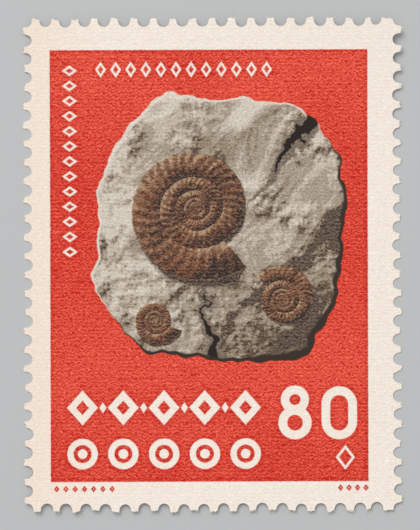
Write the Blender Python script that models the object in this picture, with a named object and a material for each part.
"""A postage stamp: one sheet of gummed, printed paper, perforated all round and torn from its pane.

Metres, +Z up. The sheet lies on its gummed back with its printed face up. +X runs across the
print from left to right, and +Y runs to the print's top. The origin is under the middle of the
sheet, on the surface that it rests on.
"""

import math
import random

import bmesh
import bpy
from mathutils import Vector

MM = 0.001

# Perforation: the gauge is the number of holes along 20 mm
GAUGE_LENGTH = 20 * MM
GAUGE_ACROSS = 11.5
GAUGE_DOWN = 12
TEETH_ACROSS = 19
TEETH_DOWN = 26
HOLE_RADIUS = 0.52 * MM
HOLE_STEPS = 16

# One pin, next to the right corner, sits off its pitch, so its hole is off in the bottom row and
# in the top row. Each is given by its row, anticlockwise from the bottom, and its place in it.
STRAY_HOLES = ((0, TEETH_ACROSS - 1), (2, 1))
STRAY_SHIFT = Vector((-0.25 * MM, 0.08 * MM))

# Torn tips of the teeth, measured outwards from the line through the holes' centres. A tip's
# points lie across the tooth from TIP_INSET of its width inside one hole's edge to the other.
TEAR_REACH = 0.36 * MM
TEAR_MEAN = (0.10 * MM, 0.24 * MM)
TEAR_SLANT = 0.06 * MM
TEAR_JITTER = 0.05 * MM
TEAR_SHORTEST = 0.01 * MM
TIP_POINTS = 5
TIP_INSET = 0.08
TEAR_SEED = 11

PAPER_THICKNESS = 0.10 * MM

# The gum's pull bends each end of the sheet up. A bend has the heading that it rises towards,
# the distance of its first line from the middle, and its radius.
TOP_BEND = (math.radians(82), 10 * MM, 150 * MM)
BOTTOM_BEND = (math.radians(-96), 12 * MM, 180 * MM)
TEETH_PER_CUT = 2

MERGE_DISTANCE = 0.001 * MM

PAPER_COLOUR = (0.90, 0.80, 0.70, 1)
PAPER_ROUGHNESS = 0.85


def clear_scene():
    """Remove whatever the scene holds."""
    for thing in list(bpy.data.objects):
        bpy.data.objects.remove(thing)


def hole_rows():
    """The rows of holes, anticlockwise from the bottom left: corner, heading, pitch and teeth."""
    pitch_across = GAUGE_LENGTH / GAUGE_ACROSS
    pitch_down = GAUGE_LENGTH / GAUGE_DOWN
    half_x = TEETH_ACROSS * pitch_across / 2
    half_y = TEETH_DOWN * pitch_down / 2
    return (
        (Vector((-half_x, -half_y)), Vector((1, 0)), pitch_across, TEETH_ACROSS),
        (Vector((half_x, -half_y)), Vector((0, 1)), pitch_down, TEETH_DOWN),
        (Vector((half_x, half_y)), Vector((-1, 0)), pitch_across, TEETH_ACROSS),
        (Vector((-half_x, half_y)), Vector((0, -1)), pitch_down, TEETH_DOWN),
    )


def torn_tips(teeth, chance):
    """The reach of a row's teeth at points across each tip, scaled so that one has TEAR_REACH."""
    tips = []
    for _ in range(teeth):
        mean = chance.uniform(*TEAR_MEAN)
        slant = chance.uniform(-TEAR_SLANT, TEAR_SLANT)
        tip = []
        for point in range(TIP_POINTS):
            across = 2 * point / (TIP_POINTS - 1) - 1
            reach = mean + slant * across + chance.uniform(-TEAR_JITTER, TEAR_JITTER)
            tip.append(max(reach, TEAR_SHORTEST))
        tips.append(tip)
    longest = max(max(tip) for tip in tips)
    return [[reach * TEAR_REACH / longest for reach in tip] for tip in tips]


def hole_edge(centre, heading, outward, span):
    """The inner edge of a hole, from the tooth before it to the tooth after it."""
    steps = round(HOLE_STEPS * span / math.tau)
    angles = [span * (1 - step / steps) for step in range(steps + 1)]
    return [
        centre + (heading * math.cos(angle) - outward * math.sin(angle)) * HOLE_RADIUS
        for angle in angles
    ]


def perforated_outline():
    """The sheet's outline, anticlockwise: the edge of each hole, then the torn tip after it."""
    chance = random.Random(TEAR_SEED)
    holes = []
    tips = []
    for row, (corner, heading, pitch, teeth) in enumerate(hole_rows()):
        outward = Vector((heading.y, -heading.x))
        for hole in range(teeth):
            centre = corner + heading * pitch * hole
            if (row, hole) in STRAY_HOLES:
                centre += STRAY_SHIFT
            span = math.pi / 2 if hole == 0 else math.pi
            holes.append((hole_edge(centre, heading, outward, span), outward))
        tips += torn_tips(teeth, chance)

    outline = []
    for index, (edge, outward) in enumerate(holes):
        next_edge = holes[(index + 1) % len(holes)][0]
        outline += edge
        for point, reach in enumerate(tips[index]):
            share = TIP_INSET + (1 - 2 * TIP_INSET) * point / (TIP_POINTS - 1)
            outline.append(edge[-1].lerp(next_edge[0], share) + outward * reach)
    return outline


def paper_blank():
    """The flat sheet: the outline as a filled curve, given the paper's thickness, as a mesh."""
    curve = bpy.data.curves.new("stamp outline", "CURVE")
    curve.dimensions = "2D"
    curve.fill_mode = "BOTH"
    curve.extrude = PAPER_THICKNESS / 2
    outline = perforated_outline()
    spline = curve.splines.new("POLY")
    spline.points.add(len(outline) - 1)
    for point, place in zip(spline.points, outline):
        point.co = (place.x, place.y, 0, 1)
    spline.use_cyclic_u = True

    guide = bpy.data.objects.new("stamp outline", curve)
    bpy.context.scene.collection.objects.link(guide)
    evaluated = guide.evaluated_get(bpy.context.evaluated_depsgraph_get())
    mesh = bpy.data.meshes.new_from_object(evaluated)
    bpy.data.objects.remove(guide)
    return mesh


def bend_height(place, bend):
    """How far one bend lifts the sheet at a place."""
    heading, start, radius = bend
    past = place.x * math.cos(heading) + place.y * math.sin(heading) - start
    return radius - math.sqrt(radius**2 - max(past, 0) ** 2)


def cut_for_bending(sheet):
    """Cut lines across the sheet from hole to hole, so that its faces can follow the bends."""
    (corner, _, pitch_across, teeth_across), (_, _, pitch_down, teeth_down) = hole_rows()[:2]
    cuts = [
        (Vector((corner.x + pitch_across * tooth, 0, 0)), Vector((1, 0, 0)))
        for tooth in range(1, teeth_across, TEETH_PER_CUT)
    ]
    cuts += [
        (Vector((0, corner.y + pitch_down * tooth, 0)), Vector((0, 1, 0)))
        for tooth in range(1, teeth_down, TEETH_PER_CUT)
    ]
    for place, across in cuts:
        everything = sheet.verts[:] + sheet.edges[:] + sheet.faces[:]
        bmesh.ops.bisect_plane(
            sheet, geom=everything, dist=MERGE_DISTANCE, plane_co=place, plane_no=across
        )
    bmesh.ops.remove_doubles(sheet, verts=sheet.verts, dist=MERGE_DISTANCE)


def stamp_mesh():
    """The finished sheet: welded, stood on its back and bent by its gum."""
    mesh = paper_blank()
    sheet = bmesh.new()
    sheet.from_mesh(mesh)
    bmesh.ops.remove_doubles(sheet, verts=sheet.verts, dist=MERGE_DISTANCE)
    for side in (1, -1):
        cap = [face for face in sheet.faces if all(vert.co.z * side > 0 for vert in face.verts)]
        bmesh.ops.dissolve_faces(sheet, faces=cap)
    cut_for_bending(sheet)
    for vert in sheet.verts:
        lift = bend_height(vert.co, TOP_BEND) + bend_height(vert.co, BOTTOM_BEND)
        vert.co.z += PAPER_THICKNESS / 2 + lift
    bmesh.ops.triangulate(sheet, faces=sheet.faces)
    bmesh.ops.recalc_face_normals(sheet, faces=sheet.faces)
    sheet.to_mesh(mesh)
    sheet.free()
    mesh.name = "stamp"
    return mesh


def paper_material():
    """Uncoated white paper, slightly creamed."""
    material = bpy.data.materials.new("stamp paper")
    material.use_nodes = True
    surface = material.node_tree.nodes["Principled BSDF"]
    surface.inputs["Base Color"].default_value = PAPER_COLOUR
    surface.inputs["Roughness"].default_value = PAPER_ROUGHNESS
    surface.inputs["Metallic"].default_value = 0
    return material


def build():
    """Model the stamp in a collection of its own."""
    clear_scene()
    parts = bpy.data.collections.new("Postage stamp")
    bpy.context.scene.collection.children.link(parts)
    mesh = stamp_mesh()
    mesh.materials.append(paper_material())
    parts.objects.link(bpy.data.objects.new("stamp", mesh))


build()
